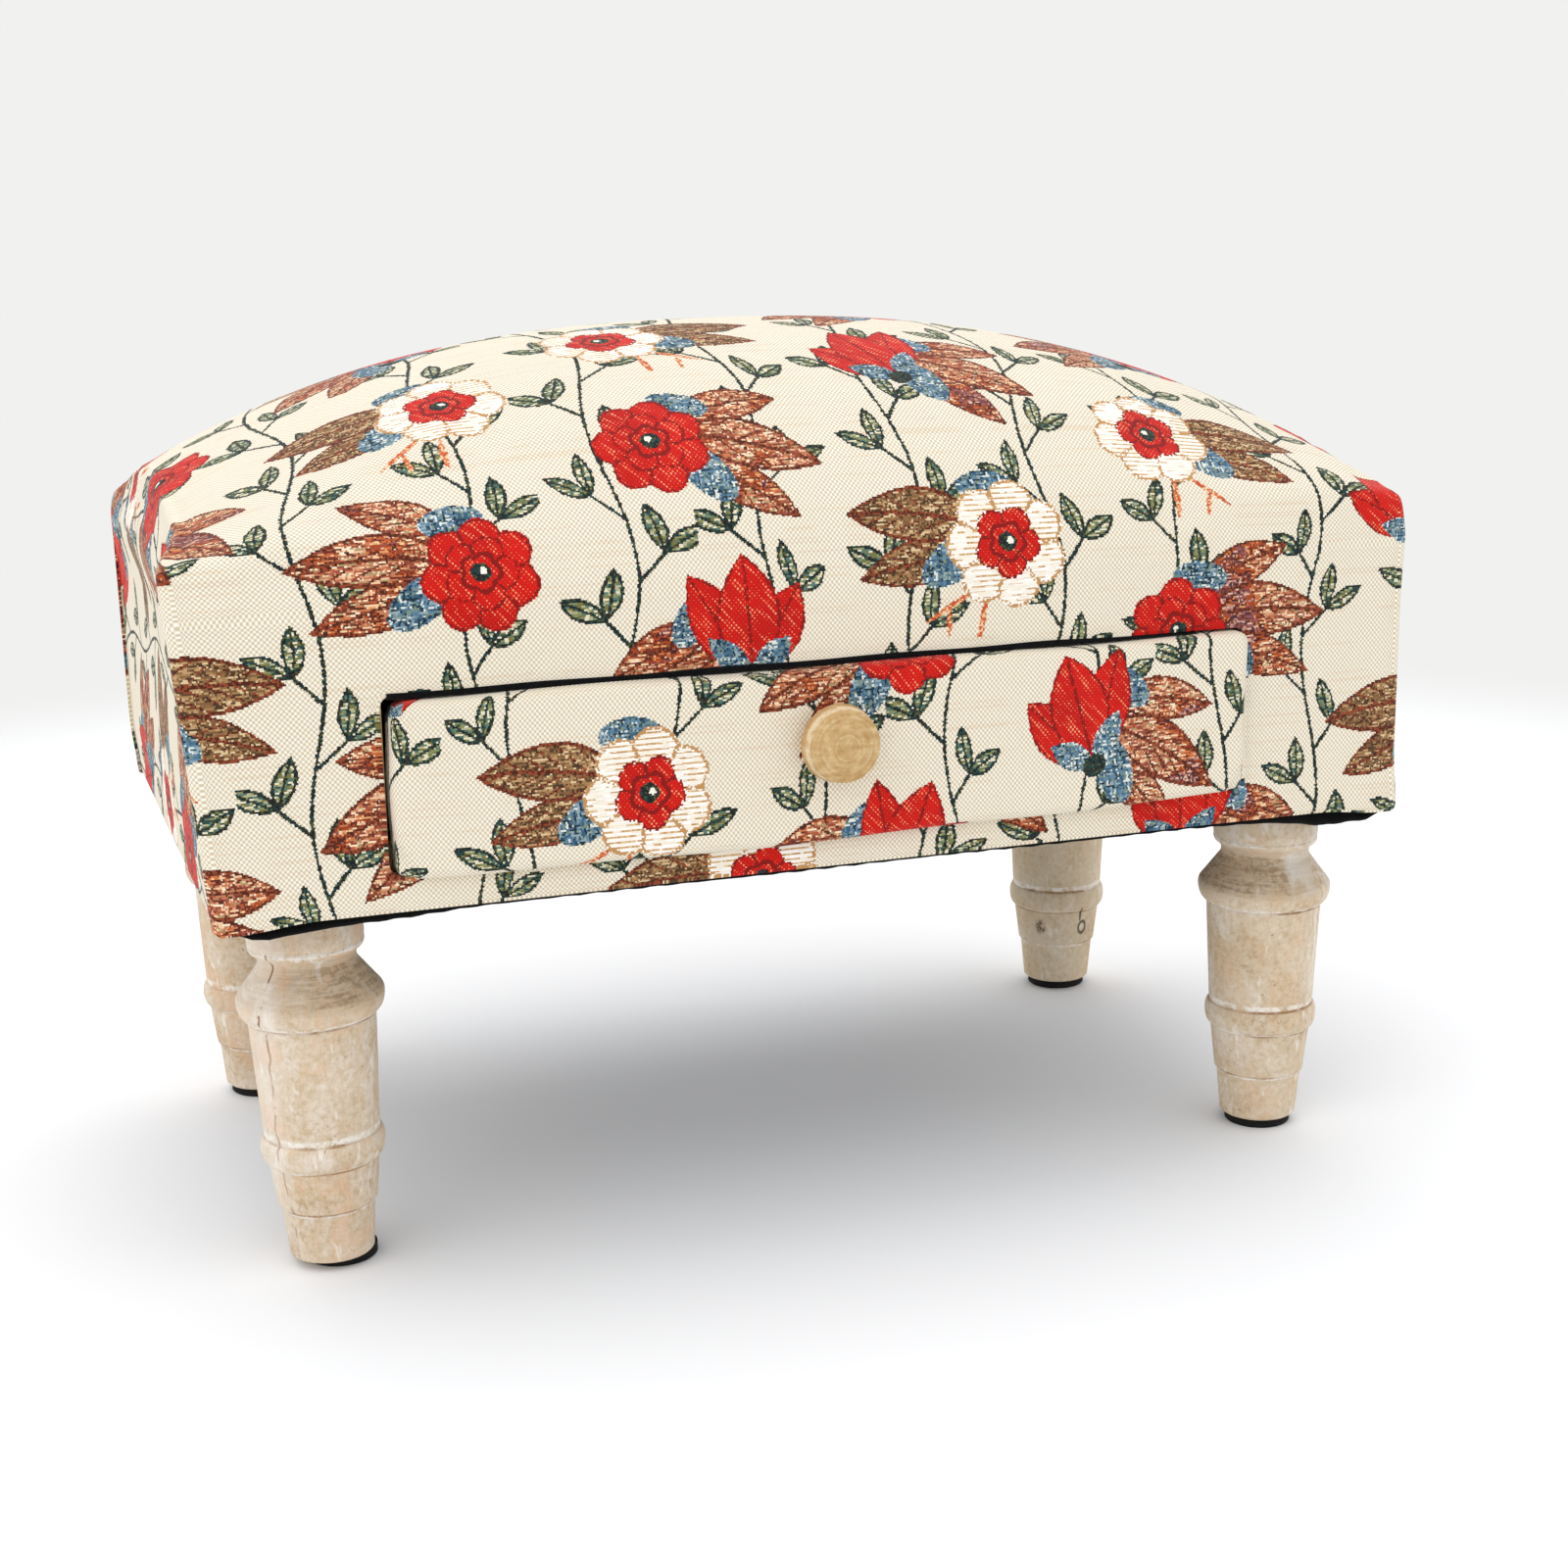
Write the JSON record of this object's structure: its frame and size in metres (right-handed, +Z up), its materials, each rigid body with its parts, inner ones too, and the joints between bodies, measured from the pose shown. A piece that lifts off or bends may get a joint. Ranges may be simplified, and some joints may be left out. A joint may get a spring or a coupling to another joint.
{
  "type": "footstool",
  "caption": "Small domed footstool with turned wooden legs, a padded crown in woven cloth and one drawer with a round wooden knob.",
  "frame": {"origin": "on the floor, at the middle of the rectangle that the stool covers, knob included", "axes": "+X along the stool, +Y from front to back, +Z up; the drawer opens towards -Y"},
  "size_m": [0.4122, 0.2486, 0.286],
  "materials": {
    "limed_wood": "limewashed, matte, white wash left in the turned grooves",
    "knob_wood": "bare turned wood, matte",
    "box_board": "raw board, matte",
    "drawer_wood": "raw plywood, matte",
    "pad_rubber": "black, matte",
    "zinc_steel": "zinc plated",
    "foam": "cut foam",
    "woven_cloth": "woven pattern of flowers and leaves on a cream ground, matte",
    "black_lining": "black non-woven cloth, matte"
  },
  "bodies": {
    "stool": {"leg_front_left": "limed_wood", "leg_front_right": "limed_wood", "leg_back_left": "limed_wood", "leg_back_right": "limed_wood", "pad_front_left": "pad_rubber", "pad_front_right": "pad_rubber", "pad_back_left": "pad_rubber", "pad_back_right": "pad_rubber", "leg_bolts": "zinc_steel", "tee_nuts": "zinc_steel", "base_board": "box_board", "side_panel_left": "box_board", "side_panel_right": "box_board", "back_panel": "box_board", "front_stile_left": "box_board", "front_stile_right": "box_board", "front_top_rail": "box_board", "corner_blocks": "box_board", "deck_board": "box_board", "base_screws": "zinc_steel", "deck_screws": "zinc_steel", "drawer_guide_left": "drawer_wood", "drawer_guide_right": "drawer_wood", "foam_pad": "foam", "cover": "woven_cloth", "lining": "black_lining"},
    "drawer": {"drawer_front_board": "box_board", "drawer_front_cover": "woven_cloth", "drawer_box_front": "drawer_wood", "drawer_side_left": "drawer_wood", "drawer_side_right": "drawer_wood", "drawer_back": "drawer_wood", "drawer_bottom": "drawer_wood", "front_screws": "zinc_steel", "knob": "knob_wood", "knob_screw": "zinc_steel"}
  },
  "joints": [
    {"name": "drawer_slide", "type": "slide", "parent": "stool", "child": "drawer", "axis": [0, -1, 0], "range_m": [0, 0.15]}
  ]
}
